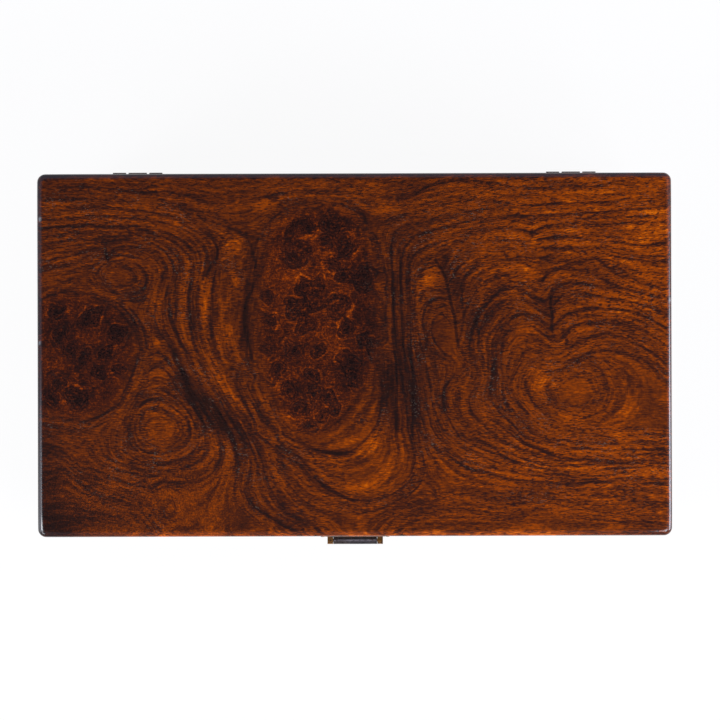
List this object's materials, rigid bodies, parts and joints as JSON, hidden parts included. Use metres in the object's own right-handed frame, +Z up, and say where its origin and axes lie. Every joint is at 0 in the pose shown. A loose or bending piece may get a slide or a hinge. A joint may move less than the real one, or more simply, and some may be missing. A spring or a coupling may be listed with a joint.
{
  "type": "keepsake box",
  "caption": "Rectangular figured-hardwood box with a hinged lid, beaded seam, round split lock plate, hanging hasp, padlock loops and two back hinges.",
  "frame": {"origin": "middle of the underside, on the surface that the box stands on", "axes": "+X along the front to the right, +Y from the front to the back, +Z up"},
  "size_m": [0.4024, 0.2438, 0.146],
  "materials": {
    "top_wood": "figured burl hardwood, clear gloss lacquer",
    "side_wood": "straight-grained hardwood, clear gloss lacquer",
    "bottom_wood": "hardwood, thin satin oil",
    "plate_brass": "aged, brown patina, worn bright at the edges",
    "hasp_brass": "dark patina, lightly pitted",
    "hinge_brass": "aged, brown patina",
    "pin_brass": "worn",
    "nail_brass": "aged, rubbed bright on the crowns"
  },
  "bodies": {
    "case": {"case_front_wall": "side_wood", "case_back_wall": "side_wood", "case_left_wall": "side_wood", "case_right_wall": "side_wood", "bottom_board": "bottom_wood", "lower_lock_plate": "plate_brass", "lock_loop_left": "plate_brass", "lock_loop_right": "plate_brass", "left_hinge_case_leaf": "hinge_brass", "right_hinge_case_leaf": "hinge_brass", "left_hinge_pin": "pin_brass", "right_hinge_pin": "pin_brass", "lower_lock_plate_nails": "nail_brass", "case_leaf_nails": "nail_brass"},
    "lid": {"lid_top_board": "top_wood", "lid_front_rail": "side_wood", "lid_back_rail": "side_wood", "lid_left_rail": "side_wood", "lid_right_rail": "side_wood", "upper_lock_plate": "plate_brass", "hasp_pin": "pin_brass", "left_hinge_lid_leaf": "hinge_brass", "right_hinge_lid_leaf": "hinge_brass", "upper_lock_plate_nails": "nail_brass", "lid_leaf_nails": "nail_brass"},
    "hasp": {"hasp_plate": "hasp_brass", "hasp_eye": "hasp_brass"}
  },
  "joints": [
    {"name": "lid_hinge", "type": "hinge", "parent": "case", "child": "lid", "pos_m": [0, 0.1169, 0.1011], "axis": [-1, 0, 0], "range_deg": [0, 105]},
    {"name": "hasp_hinge", "type": "hinge", "parent": "lid", "child": "hasp", "pos_m": [0, -0.1183, 0.1281], "axis": [-1, 0, 0], "range_deg": [0, 165]}
  ]
}
